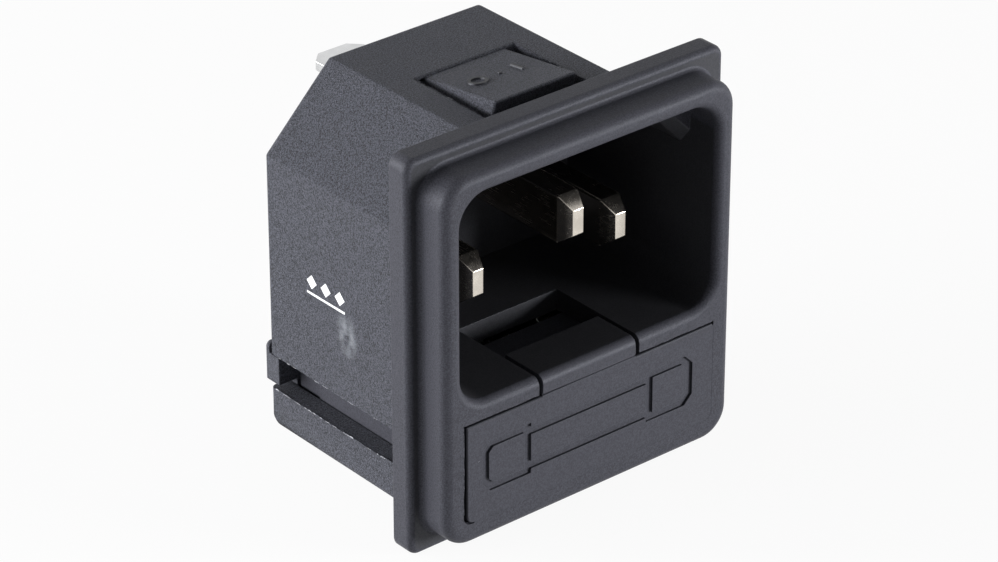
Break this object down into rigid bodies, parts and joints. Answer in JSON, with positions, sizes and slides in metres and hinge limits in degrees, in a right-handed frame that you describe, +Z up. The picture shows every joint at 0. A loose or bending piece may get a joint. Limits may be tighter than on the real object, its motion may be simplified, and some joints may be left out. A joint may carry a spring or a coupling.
{
  "type": "iec appliance inlet",
  "caption": "Black snap-in mains appliance inlet: rectangular flange, keyed socket with three flat pins, fuse drawer below it and quick-connect tabs at the rear.",
  "frame": {"origin": "centre of the flange's rear face, in the plane that lies on the panel", "axes": "+X to the right seen from the front, +Y out of the back of the panel, +Z up, towards the earth pin"},
  "size_m": [0.0306, 0.0312, 0.0332],
  "materials": {
    "housing_plastic": "fine-grained black thermoplastic, satin on the flange and bezel",
    "drawer_plastic": "fine-grained black thermoplastic",
    "cover_plastic": "fine-grained black thermoplastic",
    "nickel": "bright nickel plating on brass",
    "tab_plating": "satin tin plating on brass strip",
    "clip_bronze": "plated phosphor bronze",
    "fuse_cap": "nickel-plated brass cap",
    "fuse_glass": "clear glass tube",
    "fuse_wire": "fine tinned wire"
  },
  "bodies": {
    "inlet": {"housing": "housing_plastic", "rear_cover": "cover_plastic", "line_pin": "nickel", "neutral_pin": "nickel", "earth_pin": "nickel", "earth_terminal": "tab_plating", "neutral_terminal": "tab_plating", "line_terminal": "tab_plating", "line_link": "tab_plating", "left_fuse_clip": "clip_bronze", "right_fuse_clip": "clip_bronze", "left_clip_rivet": "clip_bronze", "right_clip_rivet": "clip_bronze"},
    "drawer": {"fuse_drawer": "drawer_plastic", "live_fuse_glass": "fuse_glass", "live_fuse_left_cap": "fuse_cap", "live_fuse_right_cap": "fuse_cap", "live_fuse_wire": "fuse_wire", "spare_fuse_glass": "fuse_glass", "spare_fuse_left_cap": "fuse_cap", "spare_fuse_right_cap": "fuse_cap", "spare_fuse_wire": "fuse_wire"}
  },
  "joints": [
    {"name": "drawer_slide", "type": "slide", "parent": "inlet", "child": "drawer", "axis": [0, -1, 0], "range_m": [0, 0.0185]}
  ]
}
